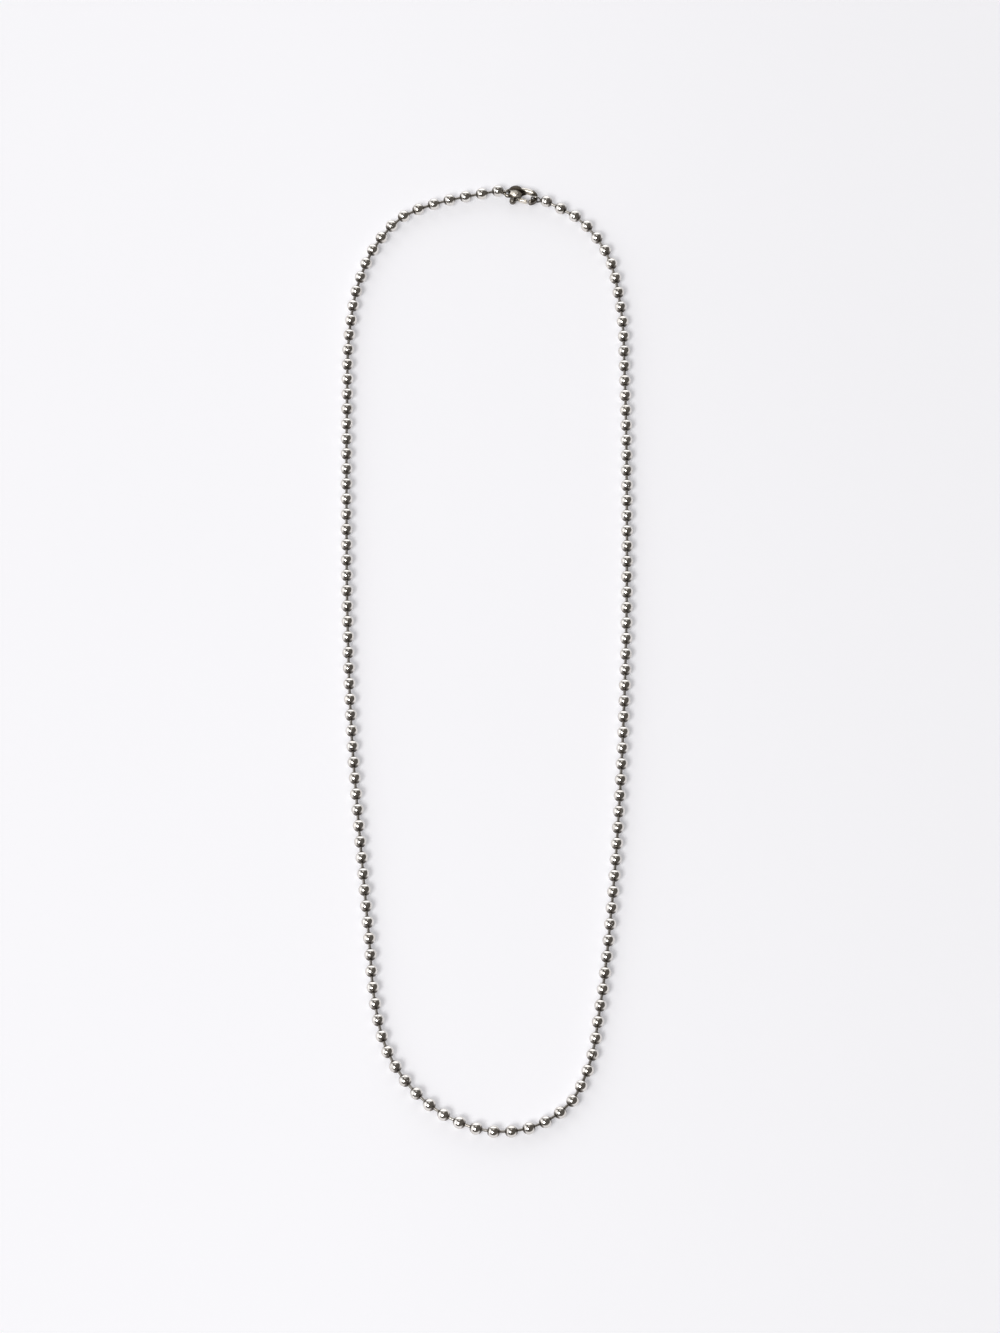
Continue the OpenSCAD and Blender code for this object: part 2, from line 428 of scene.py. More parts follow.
class Dulling(NodeGroup):
    """The satin of the painted highlight patches and the dullness of the dark places, over that of
    the scratches.
    """

    name = "dulling"
    inputs = {
        "Marks": ("NodeSocketFloat", 0.1),
        "Wear": ("NodeSocketFloat", 0.0),
        "Satin": ("NodeSocketFloat", 0.0),
        "Dark Mask": ("NodeSocketFloat", 0.0),
    }
    outputs = {"Roughness": "NodeSocketFloat"}
    dark_roughness: float = 0.24

    def wire(self, wiring: Wiring, given: bpy.types.NodeOutputs,
             result: bpy.types.NodeInputs) -> None:
        """Adds the three up.

        Args:
            wiring: the group's own wiring.
            given: the group's inputs by name.
            result: the group's outputs by name.
        """
        satin = wiring.math("MULTIPLY", given["Wear"], given["Satin"])
        dark = wiring.math("MULTIPLY", given["Dark Mask"], self.dark_roughness)
        more = wiring.math("ADD", satin, dark)
        wiring.feed(result["Roughness"], wiring.math("ADD", given["Marks"], more))


# Finishes


@dataclass(frozen=True)
class SilverFinish:
    """Silver of one piece: its clean and stained colours, its dark colour of oxide and painted
    shade, and its roughness.

    Attributes:
        name: the material's name.
        clean: colour where a cloth keeps it bright.
        stained: colour of its yellowed patches.
        blackened: colour of oxide in its recesses and of painted shade and painted dark reflection.
        patch_scale: how many patches there are to a millimetre.
        patchiness: how far the patches reach the stained colour.
        polished: roughness where it is smoothest.
        dulled: roughness along its scratches.
        fineness: how fine its scratches are.
        dent_m: depth of its dents, in metres.
        satin: roughness added in the painted highlight patches.
        darkest_link: lightness of the darkest link, where the lightest has 1.
        seam: whether its beads show a closed seam.
        seam_edge: how far from its middle the seam starts and ends to fade, in turns of the bead.
        seam_darkness: how far the seam reaches the blackened.
        seam_depth: depth of the seam, in depths of a dent.
    """

    name: str
    clean: Colour
    stained: Colour
    blackened: Colour
    patch_scale: float = 0.35
    patchiness: float = 0.35
    polished: float = 0.1
    dulled: float = 0.2
    fineness: float = 5.0
    dent_m: float = 0.00001
    satin: float = 0.0
    darkest_link: float = 0.9
    seam: bool = False
    seam_edge: Pair = (0.003, 0.006)
    seam_darkness: float = 0.6
    seam_depth: float = 2.0

    def material(self) -> bpy.types.Material:
        """Builds the finish.

        Returns:
            The material.
        """
        made = bpy.data.materials.new(self.name)
        made.use_nodes = True
        wiring = Wiring(made.node_tree)
        shader = made.node_tree.nodes["Principled BSDF"]
        shader.inputs["Metallic"].default_value = 1.0
        place = wiring.millimetres()
        stains_and_painted_shade = StainsAndPaintedShade().place(
            wiring, place=place, patch_scale=self.patch_scale, patchiness=self.patchiness,
            recess=wiring.attribute("recess"), clean=self.clean, stained=self.stained,
            blackened=self.blackened)
        marks = HandlingMarks().place(
            wiring, place=place, fineness=self.fineness, polished=self.polished,
            dulled=self.dulled)
        colour, height = stains_and_painted_shade["Color"], marks["Height"]
        if self.seam:
            line = self.seam_line(wiring)
            dark = wiring.math("MULTIPLY", line, self.seam_darkness)
            colour = wiring.blend(dark, colour, self.blackened)
            groove = wiring.math("MULTIPLY", line, self.seam_depth)
            height = wiring.math("SUBTRACT", height, groove)
        toned = LinkTone().place(
            wiring, color=colour, tone=wiring.attribute("tone"), darkest=self.darkest_link)
        dulling = Dulling().place(
            wiring, marks=marks["Roughness"], wear=wiring.attribute("wear"), satin=self.satin,
            dark_mask=stains_and_painted_shade["Dark Mask"])
        bump = wiring.node("ShaderNodeBump")
        bump.inputs["Distance"].default_value = self.dent_m
        wiring.feed(bump.inputs["Height"], height)
        wiring.feed(shader.inputs["Base Color"], toned["Color"])
        wiring.feed(shader.inputs["Roughness"], dulling["Roughness"])
        wiring.feed(shader.inputs["Normal"], bump.outputs[0])
        return made

    def seam_line(self, wiring: Wiring) -> bpy.types.NodeSocket:
        """Draws the closed seam that runs from hole to hole on one side of a bead.

        Args:
            wiring: the material's wiring.

        Returns:
            1 on the seam and 0 beside it.
        """
        round_bead = wiring.first_part(wiring.node("ShaderNodeUVMap", uv_map=SEAM_UV).outputs[0])
        off = wiring.math("ABSOLUTE", wiring.math("SUBTRACT", round_bead, 0.5))
        return wiring.spread(off, *self.seam_edge, 1.0, 0.0)


# In these finishes the dark colour is partly oxide and partly painted shade; on the clasp it is
# mostly painted dark reflection.
CHAIN_SILVER = SilverFinish(
    "chain_silver_polished", clean=(0.81, 0.785, 0.75), stained=(0.68, 0.62, 0.54),
    blackened=(0.16, 0.14, 0.12), polished=0.08, dulled=0.16, seam=True)
CLASP_SILVER = SilverFinish(
    "clasp_silver_cast", clean=(0.84, 0.80, 0.73), stained=(0.62, 0.52, 0.38),
    blackened=(0.05, 0.038, 0.025), patch_scale=0.5, patchiness=0.55, polished=0.09,
    dulled=0.2, fineness=3.0, dent_m=0.00002, satin=0.28)
PIN_SILVER = SilverFinish(
    "pin_silver_drawn", clean=(0.70, 0.66, 0.60), stained=(0.5, 0.43, 0.34),
    blackened=(0.10, 0.085, 0.07), patch_scale=1.2, polished=0.16, dulled=0.3,
    fineness=8.0, dent_m=0.000006)


# Meshes


def linked(name: str, data: bpy.types.ID) -> bpy.types.Object:
    """Makes an object and puts it in the scene.

    Args:
        name: its name.
        data: its mesh, lamp or camera.

    Returns:
        The object.
    """
    made = bpy.data.objects.new(name, data)
    bpy.context.scene.collection.objects.link(made)
    return made


def coordinates(mesh: bpy.types.Mesh) -> np.ndarray:
    """The places of a mesh's vertices.

    Args:
        mesh: the mesh.

    Returns:
        One place in each row.
    """
    points = np.empty(len(mesh.vertices) * 3)
    mesh.vertices.foreach_get("co", points)
    return points.reshape(-1, 3)


def carry(mesh: bpy.types.Mesh, **values: np.ndarray) -> None:
    """Gives a mesh the numbers that the finishes read at its vertices, and smooth shading.

    Args:
        mesh: the mesh.
        values: one number for each vertex, under the name that a finish reads.
    """
    for name, numbers in values.items():
        layer = mesh.attributes.new(name, "FLOAT", "POINT")
        layer.data.foreach_set("value", numbers.astype(np.float32))
    mesh.polygons.foreach_set("use_smooth", np.ones(len(mesh.polygons), bool))
    mesh.update()


@dataclass
class Shell:
    """A form in millimetres, with the numbers that its vertices carry.

    Attributes:
        points: one place in each row.
        faces: the four points of each face.
        recess: how dark each point is with oxide and painted shade, from 0 to 1.
        wrap: how far round and along the form each face's corners lie, from 0 to 1.
        tone: how light this link is, from 0 to 1.
    """

    points: np.ndarray
    faces: np.ndarray
    recess: np.ndarray
    wrap: np.ndarray
    tone: float = 0.5

    def moved(self, matrix: np.ndarray, tone: float) -> Shell:
        """A copy in another place.

        Args:
            matrix: 4 x 4 numbers.
            tone: the copy's own tone.

        Returns:
            The copy.
        """
        points = self.points @ matrix[:3, :3].T + matrix[:3, 3]
        return Shell(points, self.faces, self.recess, self.wrap, tone)

    def seamless(self) -> Shell:
        """The same form without a seam."""
        return Shell(self.points, self.faces, self.recess, np.zeros_like(self.wrap), self.tone)

    @staticmethod
    def object_of(name: str, shells: list[Shell]) -> bpy.types.Object:
        """Fuses shells into one mesh object.

        Args:
            name: the object's name.
            shells: the shells, in millimetres.

        Returns:
            The object, in metres.
        """
        starts = np.cumsum([0] + [len(s.points) for s in shells[:-1]])
        points = np.concatenate([s.points for s in shells]) * MM
        faces = np.concatenate([s.faces + start for s, start in zip(shells, starts)]).tolist()
        wrap = np.concatenate([s.wrap for s in shells])
        # A face beside the axis has one corner twice, and only the first of the two is kept.
        kept = [[k for k, v in enumerate(face) if v not in face[:k]] for face in faces]
        mesh = bpy.data.meshes.new(name)
        corners = [[face[k] for k in keep] for face, keep in zip(faces, kept)]
        mesh.from_pydata(points.tolist(), [], corners)
        uv = np.concatenate([w[keep] for w, keep in zip(wrap, kept)]).astype(np.float32)
        mesh.uv_layers.new(name=SEAM_UV).data.foreach_set("uv", uv.ravel())
        carry(mesh, recess=np.concatenate([s.recess for s in shells]),
              tone=np.concatenate([np.full(len(s.points), s.tone) for s in shells]))
        return linked(name, mesh)


def turned(profile: list[tuple[float, float, float]], sides: int, closed: bool) -> Shell:
    """Turns a profile about the X axis.

    Args:
        profile: rows of place along X, radius and darkness of oxide and painted shade.
        sides: number of sides.
        closed: whether the last row joins the first.

    Returns:
        The turned form.
    """
    angle = np.arange(sides) * 2 * math.pi / sides
    ring = np.stack([np.zeros(sides), np.cos(angle), np.sin(angle)], 1)
    points, index, recess = [], [], []
    for x, radius, hollow in profile:
        start = len(points)
        on_axis = radius < AXIS_R
        points.extend([[x, 0.0, 0.0]] if on_axis else (ring * radius + [x, 0, 0]).tolist())
        index.append([start] * sides if on_axis else list(range(start, start + sides)))
        recess.extend([hollow] * (1 if on_axis else sides))
    faces, wrap = [], []
    count = len(profile)
    for i in range(count if closed else count - 1):
        here, there = index[i], index[(i + 1) % count]
        low, high = i / count, (i + 1) / count
        for j in range(sides):
            k = (j + 1) % sides
            near, far = j / sides, (j + 1) / sides
            faces.append([here[j], here[k], there[k], there[j]])
            wrap.append([[near, low], [far, low], [far, high], [near, high]])
    return Shell(np.array(points), np.array(faces), np.array(recess), np.array(wrap))


def arc(centre: Pair, radius: float, start: float, end: float, steps: int) -> list[Pair]:
    """Points of an arc.

    Args:
        centre: its middle.
        radius: its radius.
        start: its first angle, in degrees.
        end: its last angle, in degrees.
        steps: how many stretches it has.

    Returns:
        Its points.
    """
    turns = [math.radians(start + (end - start) * k / steps) for k in range(steps + 1)]
    return [(centre[0] + radius * math.cos(t), centre[1] + radius * math.sin(t)) for t in turns]


def facing(place: np.ndarray, direction: np.ndarray, roll: float = 0.0) -> np.ndarray:
    """A matrix that takes a form's X axis to a direction that lies flat.

    Args:
        place: where the form's middle goes.
        direction: where its X axis points.
        roll: its turn about that axis, in radians.

    Returns:
        4 x 4 numbers.
    """
    turn = Matrix.Rotation(math.atan2(direction[1], direction[0]), 4, "Z")
    return np.array(Matrix.Translation(Vector(place)) @ turn @ Matrix.Rotation(roll, 4, "X"))


def dress(piece: bpy.types.Object, body: Body, finish: bpy.types.Material, node: str) -> None:
    """Gives a piece its finish, its body and the node that it stands for.

    Args:
        piece: the piece.
        body: the body that it rides on.
        finish: its material.
        node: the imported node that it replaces.
    """
    mesh = piece.data
    mesh.materials.clear()
    mesh.materials.append(finish)
    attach(piece, body.value)
    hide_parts(node)
    mesh.calc_loop_triangles()
    count = len(mesh.loop_triangles)
    log.info("%s: %d triangles, for %s, rides on %s", piece.name, count, node, body.value)


# The chain


@dataclass
class BallChain:
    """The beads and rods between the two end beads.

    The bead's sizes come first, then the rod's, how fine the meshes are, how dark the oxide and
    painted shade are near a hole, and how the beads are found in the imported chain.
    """

    bead_r: float = 1.6
    wall: float = 0.3
    hole_r: float = 0.5
    lip: float = 0.09
    lip_turn: Pair = (0.25, 0.3)
    rod_r: float = 0.4
    knob_r: float = 0.62
    knob_clear: float = 0.04
    knob_neck_deg: float = 42.0
    knob_steps: int = 3
    shank_inside: float = 0.25
    shank_shoulder: float = 0.1
    shank_waist: float = 0.97
    sides: int = 26
    rod_sides: int = 10
    outer_steps: int = 15
    inner_steps: int = 4
    # Darkness of oxide and painted shade near the holes and on the rods.
    hole_dark_start: float = 0.42
    hole_dark_end: float = 0.95
    bare_half: float = 0.6
    bare_rod_darkness: float = 0.62
    pole_tolerance: float = 1e-4
    pole_digits: int = 2
    places: np.ndarray = field(default_factory=lambda: np.zeros((0, 3)))

    def find_beads(self) -> None:
        """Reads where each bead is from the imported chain, and puts them in order along it."""
        points = coordinates(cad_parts["bead_chain"].data) / MM
        # The highest points of the chain lie over the beads' middles, some of them more than once.
        poles = points[points[:, 2] > 2 * self.bead_r - self.pole_tolerance][:, :2]
        left = list(np.unique(np.round(poles, self.pole_digits), axis=0))
        here = self.end_place("end_link_left")
        order = [here]
        while left:
            gaps = [np.hypot(*(p - here)) for p in left]
            nearest = int(np.argmin(gaps))
            here = left.pop(nearest)
            if gaps[nearest] > self.bead_r:
                order.append(here)
        order.append(self.end_place("end_link_right"))
        self.places = np.column_stack([np.array(order), np.full(len(order), self.bead_r)])
        log.info("found %d beads in order along the chain", len(order))

    def end_place(self, node: str) -> np.ndarray:
        """Where an end bead is.

        Args:
            node: the end link's node.

        Returns:
            Its place in the plane of the surface.
        """
        points = coordinates(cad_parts[node].data)
        return points[np.argmax(points[:, 2])][:2] / MM

    def hollow(self, x: float) -> float:
        """How dark the oxide and painted shade are at a place on a bead near a hole.

        Args:
            x: its distance from the bead's middle, along the chain.

        Returns:
            1 at the hole and 0 away from it.
        """
        share = (abs(x) / self.bead_r - self.hole_dark_start) / (self.hole_dark_end - self.hole_dark_start)
        share = min(1.0, max(0.0, share))
        return share * share * (3 - 2 * share)

    def edge(self) -> list[Pair]:
        """Shapes the rolled edge of the hole at the end along +X.

        Returns:
            Its points, from the bead's face to its hollow.
        """
        face_r = self.hole_r + self.lip
        face_x = self.bead_r * math.cos(math.asin(face_r / self.bead_r))
        turn = (face_x - self.lip_turn[0] * self.lip, self.hole_r + self.lip_turn[1] * self.lip)
        inner_x = math.sqrt((self.bead_r - self.wall) ** 2 - self.hole_r ** 2)
        return [(face_x, face_r), turn, (face_x - self.lip, self.hole_r), (inner_x, self.hole_r)]

    def bead(self, first: HoleEnd, second: HoleEnd) -> Shell:
        """A hollow bead with its middle at the origin and its ends along X.

        Args:
            first: what its end at -X has.
            second: what its end at +X has.

        Returns:
            The bead.
        """
        opens_first, opens_second = first is HoleEnd.ROD_HOLE, second is HoleEnd.ROD_HOLE
        cavity_r = self.bead_r - self.wall
        rim = self.edge()
        face = math.degrees(math.asin(rim[0][1] / self.bead_r))
        inner = math.degrees(math.asin(self.hole_r / cavity_r))
        outside = arc((0, 0), self.bead_r, 180 - (face if opens_first else 0),
                      face if opens_second else 0, self.outer_steps)
        inside = arc((0, 0), cavity_r, inner if opens_second else 0,
                     180 - (inner if opens_first else 0), self.inner_steps)
        profile = [(x, r, self.hollow(x)) for x, r in outside]
        if opens_second:
            profile += [(x, r, 1.0) for x, r in rim[1:-1]]
        profile += [(x, r, 1.0) for x, r in inside]
        if opens_first:
            profile += [(-x, r, 1.0) for x, r in reversed(rim[1:-1])]
        return turned(profile, self.sides, closed=opens_first and opens_second)

    def rod(self, reach: float) -> Shell:
        """A rod with a knob at each end, from one bead's middle at the origin to the next along X.

        Args:
            reach: the distance from bead to bead.

        Returns:
            The rod.
        """
        knob_at = self.bead_r - self.wall - self.knob_r - self.knob_clear
        neck = self.knob_neck_deg
        first = arc((knob_at, 0), self.knob_r, 180, neck, self.knob_steps)
        second = arc((reach - knob_at, 0), self.knob_r, 180 - neck, 0, self.knob_steps)
        root, waist = self.bead_r - self.shank_inside, self.bead_r + self.shank_shoulder
        waist_r = self.rod_r * self.shank_waist
        shank = [(root, self.rod_r), (waist, waist_r),
                 (reach - waist, waist_r), (reach - root, self.rod_r)]
        profile = [(x, max(r, 0.0), 1.0) for x, r in first + shank + second]
        shell = turned(profile, self.rod_sides, closed=False).seamless()
        # Painted shade: the rod is darkest where it lies inside the beads and less dark in the gap
        # between them.
        bare = np.abs(shell.points[:, 0] - reach / 2) < self.bare_half
        shell.recess = np.where(bare, self.bare_rod_darkness, 1.0)
        return shell

    def shells(self, draw: np.random.Generator) -> list[Shell]:
        """Every bead and rod in its place.

        Args:
            draw: the seeded random numbers.

        Returns:
            The shells.
        """
        bead = self.bead(HoleEnd.ROD_HOLE, HoleEnd.ROD_HOLE)
        made = []
        for before, here, after in zip(self.places, self.places[1:], self.places[2:]):
            roll = draw.uniform(0, 2 * math.pi)
            made.append(bead.moved(facing(here, after - before, roll), draw.uniform()))
            rod = self.rod(float(np.linalg.norm(after - here)))
            roll = draw.uniform(0, math.pi)
            made.append(rod.moved(facing(here, after - here, roll), draw.uniform()))
        return made

    def build(self, finish: bpy.types.Material) -> None:
        """Builds and dresses the chain.

        Args:
            finish: its silver.
        """
        self.find_beads()
        chain = Shell.object_of("ball_chain", self.shells(np.random.default_rng(SEED)))
        dress(chain, Body.NECKLACE, finish, "bead_chain")


# The end beads


@dataclass
class ClaspPlace:
    """Where the clasp lies: in its plane u runs from the eye to the nose and v to the arm.

    Attributes:
        eye_x: X of the eye's outer end, where u and v are 0.
        eye_y: Y of the eye's outer end.
        mid_z: height of the clasp's middle plane.
        turn_deg: turn of the u direction from +X.
    """

    eye_x: float = 4.6922
    eye_y: float = 132.9765
    mid_z: float = 1.5
    turn_deg: float = -14.0

    def at(self, u: float, v: float = 0.0) -> np.ndarray:
        """A place in the clasp's plane, in the necklace's frame.

        Args:
            u: distance from the eye's outer end.
            v: distance to the arm's side.

        Returns:
            The place.
        """
        turn = math.radians(self.turn_deg)
        return np.array([self.eye_x + u * math.cos(turn) - v * math.sin(turn),
                         self.eye_y + u * math.sin(turn) + v * math.cos(turn), self.mid_z])

    def along(self) -> np.ndarray:
        """The direction from the eye to the nose."""
        return self.at(1.0) - self.at(0.0)

    def plane(self, places: np.ndarray) -> np.ndarray:
        """The u and v of places.

        Args:
            places: places in the necklace's frame, one in each row.

        Returns:
            Their u and v, one pair in each row.
        """
        off = places - self.at(0.0)
        across = self.at(0.0, 1.0) - self.at(0.0)
        return np.column_stack([off @ self.along(), off @ across])


@dataclass
class EndBead:
    """A bead at an end of the chain, with the upright wire ring that is soldered to it.

    The bead's own ends come first, then the ring's place and sizes, the solder's, and how light
    the two are among the links.
    """

    name: str
    node: str
    end: ChainEnd
    first: HoleEnd
    second: HoleEnd
    ring_u: float
    ring_outer_d: float
    wire_d: float = 0.45
    ring_sides: int = 56
    wire_sides: int = 18
    # Painted shade: darkness inside and outside the ring, and at the solder's foot and tip.
    ring_inside_darkness: float = 0.9
    ring_outside_darkness: float = 0.6
    solder_r: float = 0.46
    solder_height: float = 0.28
    solder_root: Pair = (-0.25, -0.22)
    solder_spread: float = 1.1
    solder_cling: float = 0.9
    solder_steps: int = 5
    solder_sides: int = 20
    solder_darkness: Pair = (0.5, 0.2)
    solder_cap: float = 0.02
    bead_tone: float = 0.6
    wire_tone: float = 0.5

    def ring(self) -> Shell:
        """Makes the ring, with its middle at the origin and its own plane through X and Z.

        Returns:
            The ring.
        """
        big, small = (self.ring_outer_d - self.wire_d) / 2, self.wire_d / 2
        points, faces = [], []
        for i in range(self.ring_sides):
            turn = 2 * math.pi * i / self.ring_sides
            start = i * self.wire_sides
            following = (i + 1) % self.ring_sides * self.wire_sides
            for j in range(self.wire_sides):
                roll = 2 * math.pi * j / self.wire_sides
                k = (j + 1) % self.wire_sides
                radius = big + small * math.cos(roll)
                points.append([radius * math.cos(turn), small * math.sin(roll),
                               radius * math.sin(turn)])
                faces.append([start + j, start + k, following + k, following + j])
        spots = np.array(points)
        # Painted shade: the inside of the ring is darker than its outside.
        inside = np.hypot(spots[:, 0], spots[:, 2]) < big
        recess = np.where(inside, self.ring_inside_darkness, self.ring_outside_darkness)
        return Shell(spots, np.array(faces), recess, np.zeros((len(faces), 4, 2)))

    def solder(self) -> Shell:
        """Makes the fillet of solder at the ring's foot, along X with its foot at the origin.

        Returns:
            The fillet.
        """
        wire_r = self.wire_d / 2
        # Painted shade: the solder is darker at its foot, where it meets the bead, than at its tip.
        foot, tip = self.solder_darkness
        profile = [(self.solder_root[0], 0.0, foot),
                   (self.solder_root[1], self.solder_r * self.solder_spread, foot)]
        for k in range(self.solder_steps + 1):
            share = k / self.solder_steps
            radius = wire_r * self.solder_cling + (self.solder_r - wire_r) * (1 - share) ** 2
            profile.append((self.solder_height * share, radius, foot - (foot - tip) * share))
        profile.append((self.solder_height + self.solder_cap, 0.0, tip))
        return turned(profile, self.solder_sides, closed=False).seamless()

    def build(self, chain: BallChain, clasp: ClaspPlace, finish: bpy.types.Material) -> None:
        """Builds and dresses the end bead with its ring.

        Args:
            chain: the chain, for the bead's form and place.
            clasp: where the clasp lies.
            finish: its silver.
        """
        draw = np.random.default_rng(SEED + self.end.value)
        at_first = self.end is ChainEnd.FIRST
        here, neighbour = chain.places[[0, 1] if at_first else [-1, -2]]
        to_chain = neighbour - here
        to_ring = clasp.along() if at_first else -clasp.along()
        axis = to_chain if at_first else -to_chain
        bead = chain.bead(self.first, self.second)
        roll = draw.uniform(0, 2 * math.pi)
        shells = [bead.moved(facing(here, axis, roll), self.bead_tone)]
        if at_first:
            rod = chain.rod(float(np.linalg.norm(to_chain)))
            shells.append(rod.moved(facing(here, to_chain), self.wire_tone))
        ring_place = facing(clasp.at(self.ring_u), clasp.along())
        shells.append(self.ring().moved(ring_place, self.wire_tone))
        drop = chain.bead_r - clasp.mid_z
        foot = here + to_ring * math.sqrt(chain.bead_r ** 2 - drop ** 2)
        foot[2] = clasp.mid_z
        shells.append(self.solder().moved(facing(foot, to_ring), self.wire_tone))
        piece = Shell.object_of(self.name, shells)
        dress(piece, Body.NECKLACE, finish, self.node)


# The clasp


@dataclass(frozen=True)
class PaintedHighlight:
    """A painted highlight: an ellipse in the clasp's plane, with a soft edge, where the clean
    colour shows.
    """

    u: float
    v: float
    half_u: float
    half_v: float
    turn_deg: float
    fade_end: float = 1.35
    fade_width: float = 0.7

    def share(self, spots: np.ndarray) -> np.ndarray:
        """How much painted highlight places get.

        Args:
            spots: their u and v.

        Returns:
            1 inside the ellipse, falling to 0 outside.
        """
        turn = math.radians(self.turn_deg)
        off = spots - [self.u, self.v]
        along = off @ [math.cos(turn), math.sin(turn)] / self.half_u
        across = off @ [-math.sin(turn), math.cos(turn)] / self.half_v
        return np.clip((self.fade_end - np.hypot(along, across)) / self.fade_width, 0, 1)


# Painted highlights and painted reflections of bright places on the cheek, the arm and the gate.
CHEEK_HIGHLIGHT = PaintedHighlight(u=3.6, v=-0.2, half_u=2.0, half_v=0.7, turn_deg=-5.0)
ARM_HIGHLIGHT = PaintedHighlight(u=5.9, v=1.75, half_u=1.6, half_v=0.6, turn_deg=-15.0)
GATE_HIGHLIGHT = PaintedHighlight(u=6.2, v=-1.9, half_u=2.0, half_v=1.2, turn_deg=-5.0)


@dataclass
class Casting:
    """A cast piece of the clasp: its packed form with the small roundings of a casting.

    The fields after the place say how the form is made even and smoothed, and then how dark the
    painted dark reflection and oxide are beside the painted highlights, and the oxide in the
    hollows.
    """

    name: str
    node: str
    body: Body
    # The painted highlights, where the casting keeps its clean colour.
    polished: tuple[PaintedHighlight, ...]
    place: ClaspPlace = field(default_factory=ClaspPlace)
    weld: float = 0.0005
    voxel: float = 0.042
    rounding: int = 44
    broad_rounding: int = 60
    shrink: float = 0.5
    grow: float = -0.52
    # Darkness of painted dark reflection and oxide: least inside the painted highlights, more
    # beside them.
    least_darkness: float = 0.1
    darkness_beside_highlights: float = 0.85
    hollow_reach: float = 0.035
    hollow_share: float = 0.4
    tone: float = 0.6

    def build(self, finish: bpy.types.Material) -> None:
        """Builds and dresses the casting.

        Args:
            finish: its silver.
        """
        piece = self.even_mesh()
        mesh = piece.data
        rough = coordinates(mesh)
        edges = np.empty(len(mesh.edges) * 2, np.int64)
        mesh.edges.foreach_get("vertices", edges)
        edges = edges.reshape(-1, 2)
        smooth = self.smoothed(rough, edges, self.rounding, (self.shrink, self.grow))
        broad = self.smoothed(smooth, edges, self.broad_rounding, (self.shrink,))
        mesh.vertices.foreach_set("co", (smooth * MM).astype(np.float32).ravel())
        mesh.update()
        normals = np.empty(len(smooth) * 3, np.float32)
        mesh.vertices.foreach_get("normal", normals)
        depth = np.einsum("ij,ij->i", broad - smooth, normals.reshape(-1, 3))
        spots = self.place.plane(smooth)
        # Painted highlight and painted dark reflection: clean colour inside the highlight ellipses,
        # dark colour beside them, darker again in the hollows; the wear numbers only change
        # roughness.
        bright = np.max([highlight_patch.share(spots) for highlight_patch in self.polished], axis=0)
        recess = self.least_darkness + self.darkness_beside_highlights * (1 - bright)
        recess = np.clip(recess + depth / self.hollow_reach * self.hollow_share, 0, 1)
        carry(mesh, recess=recess, wear=bright, tone=np.full(len(smooth), self.tone))
        dress(piece, self.body, finish, self.node)

    def even_mesh(self) -> bpy.types.Object:
        """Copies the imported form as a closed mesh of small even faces, in millimetres.

        Returns:
            The object with that mesh.
        """
        source = bmesh.new()
        source.from_mesh(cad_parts[self.node].data)
        bmesh.ops.scale(source, vec=(1 / MM,) * 3, verts=source.verts)
        bmesh.ops.remove_doubles(source, verts=source.verts, dist=self.weld)
        mesh = bpy.data.meshes.new(self.name + "_rough")
        source.to_mesh(mesh)
        source.free()
        rough = linked(self.name + "_rough", mesh)
        remesh = rough.modifiers.new("even", "REMESH")
        remesh.mode = "VOXEL"
        remesh.voxel_size = self.voxel
        graph = bpy.context.evaluated_depsgraph_get()
        even = bpy.data.meshes.new_from_object(rough.evaluated_get(graph))
        even.name = self.name
        bpy.data.objects.remove(rough)
        return linked(self.name, even)

    @staticmethod
    def smoothed(points: np.ndarray, edges: np.ndarray, rounds: int,
                 shares: tuple[float, ...]) -> np.ndarray:
        """Smooths a mesh, and keeps its volume where the second share grows it back.

        Args:
            points: the mesh's points.
            edges: its edges.
            rounds: how many rounds.
            shares: how far a point goes to the middle of its neighbours, step by step in a round.

        Returns:
            The moved points.
        """
        ends, others = np.concatenate([edges, edges[:, ::-1]]).T
        count = np.bincount(ends, minlength=len(points))[:, None]
        moved = points.copy()
        for share in shares * rounds:
            sums = [np.bincount(ends, moved[others, k], len(points)) for k in range(3)]
            moved = moved + share * (np.stack(sums, 1) / count - moved)
        return moved


@dataclass
class Rivet:
    """The pin that carries the lever, with its two domed heads flush with the cheeks."""

    radius: float = 0.345
    chamfer: float = 0.05
    chamfer_drop: float = 0.04
    dome: float = 0.02
    dome_r: float = 0.25
    dome_steps: tuple[float, ...] = (0.0, 0.1, 0.2)
    # Painted shade: the pin's side in the cheeks is darker than its heads.
    head_darkness: float = 0.3
    side_darkness: float = 0.7
    sides: int = 32
    tone: float = 0.5

    def build(self, finish: bpy.types.Material) -> None:
        """Builds and dresses the rivet.

        Args:
            finish: its silver.
        """
        low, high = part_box("lever_pin")
        middle = (low + high) / 2 / MM
        half = (high.z - low.z) / 2 / MM
        head = [(half - self.dome * (r / self.dome_r) ** 2, r, self.head_darkness)
                for r in (*self.dome_steps, self.radius - self.chamfer)]
        side = (half - self.chamfer - self.chamfer_drop, self.radius, self.side_darkness)
        upper = [side, *reversed(head)]
        rows = [(-x, r, recess) for x, r, recess in reversed(upper)] + upper
        upright = Matrix.Translation(middle) @ Matrix.Rotation(math.radians(-90), 4, "Y")
        shell = turned(rows, self.sides, closed=False).seamless()
        piece = Shell.object_of("lever_rivet", [shell.moved(np.array(upright), self.tone)])
        dress(piece, Body.NECKLACE, finish, "lever_pin")


